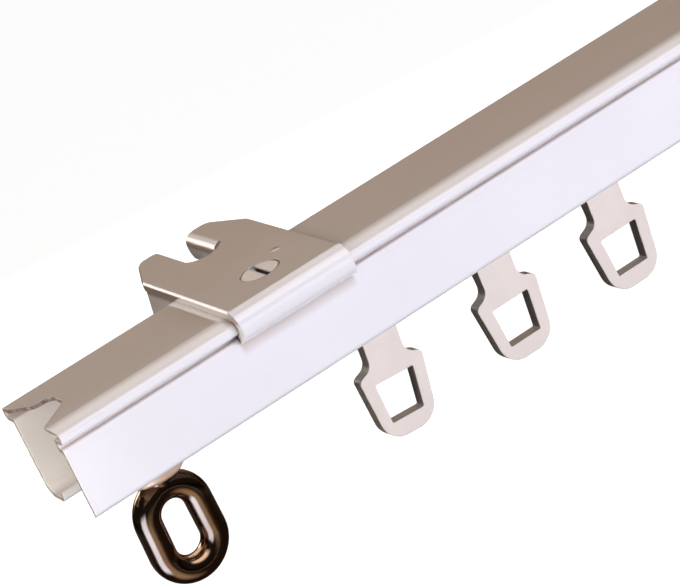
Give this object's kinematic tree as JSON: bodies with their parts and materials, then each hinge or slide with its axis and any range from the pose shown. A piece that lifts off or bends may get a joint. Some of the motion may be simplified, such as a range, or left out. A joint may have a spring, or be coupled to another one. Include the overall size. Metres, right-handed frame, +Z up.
{
  "type": "curtain track",
  "caption": "Length of white painted steel curtain track with a clip-on ceiling bracket, sliding gliders with hook holes and a bronze screw-eye end stop.",
  "frame": {"origin": "on the bracket's top face, midway between its screw and its fixing slot", "axes": "+X along the rail away from the eye, +Y to the wall, +Z up to the ceiling"},
  "size_m": [0.152, 0.0404, 0.0363],
  "materials": {
    "rail_paint": "white gloss paint on steel",
    "bracket_paint": "white gloss paint on steel sheet",
    "screw_steel": "bright zinc plate",
    "glider_plastic": "off-white moulded plastic",
    "nut_steel": "zinc plate",
    "washer_bronze": "satin bronze plate",
    "eye_bronze": "polished dark bronze plate"
  },
  "bodies": {
    "track": {"rail": "rail_paint", "bracket": "bracket_paint", "bracket_screw": "screw_steel"},
    "glider_1": {"glider_1": "glider_plastic"},
    "glider_2": {"glider_2": "glider_plastic"},
    "glider_3": {"glider_3": "glider_plastic"},
    "end_stop": {"stop_nut": "nut_steel", "stop_washer": "washer_bronze"},
    "eye": {"screw_eye": "eye_bronze"}
  },
  "joints": [
    {"name": "glider_1_slide", "type": "slide", "parent": "track", "child": "glider_1", "axis": [1, 0, 0], "range_m": [-0.021, 0.0045]},
    {"name": "glider_2_slide", "type": "slide", "parent": "track", "child": "glider_2", "axis": [1, 0, 0], "range_m": [-0.0045, 0.0045]},
    {"name": "glider_3_slide", "type": "slide", "parent": "track", "child": "glider_3", "axis": [1, 0, 0], "range_m": [-0.0045, 0.052]},
    {"name": "end_stop_slide", "type": "slide", "parent": "track", "child": "end_stop", "axis": [1, 0, 0], "range_m": [-0.007, 0.004]},
    {"name": "eye_turn", "type": "hinge", "parent": "end_stop", "child": "eye", "pos_m": [-0.0268, -0.00825, -0.018], "axis": [0, 0, 1], "range_deg": [-180, 0]}
  ]
}
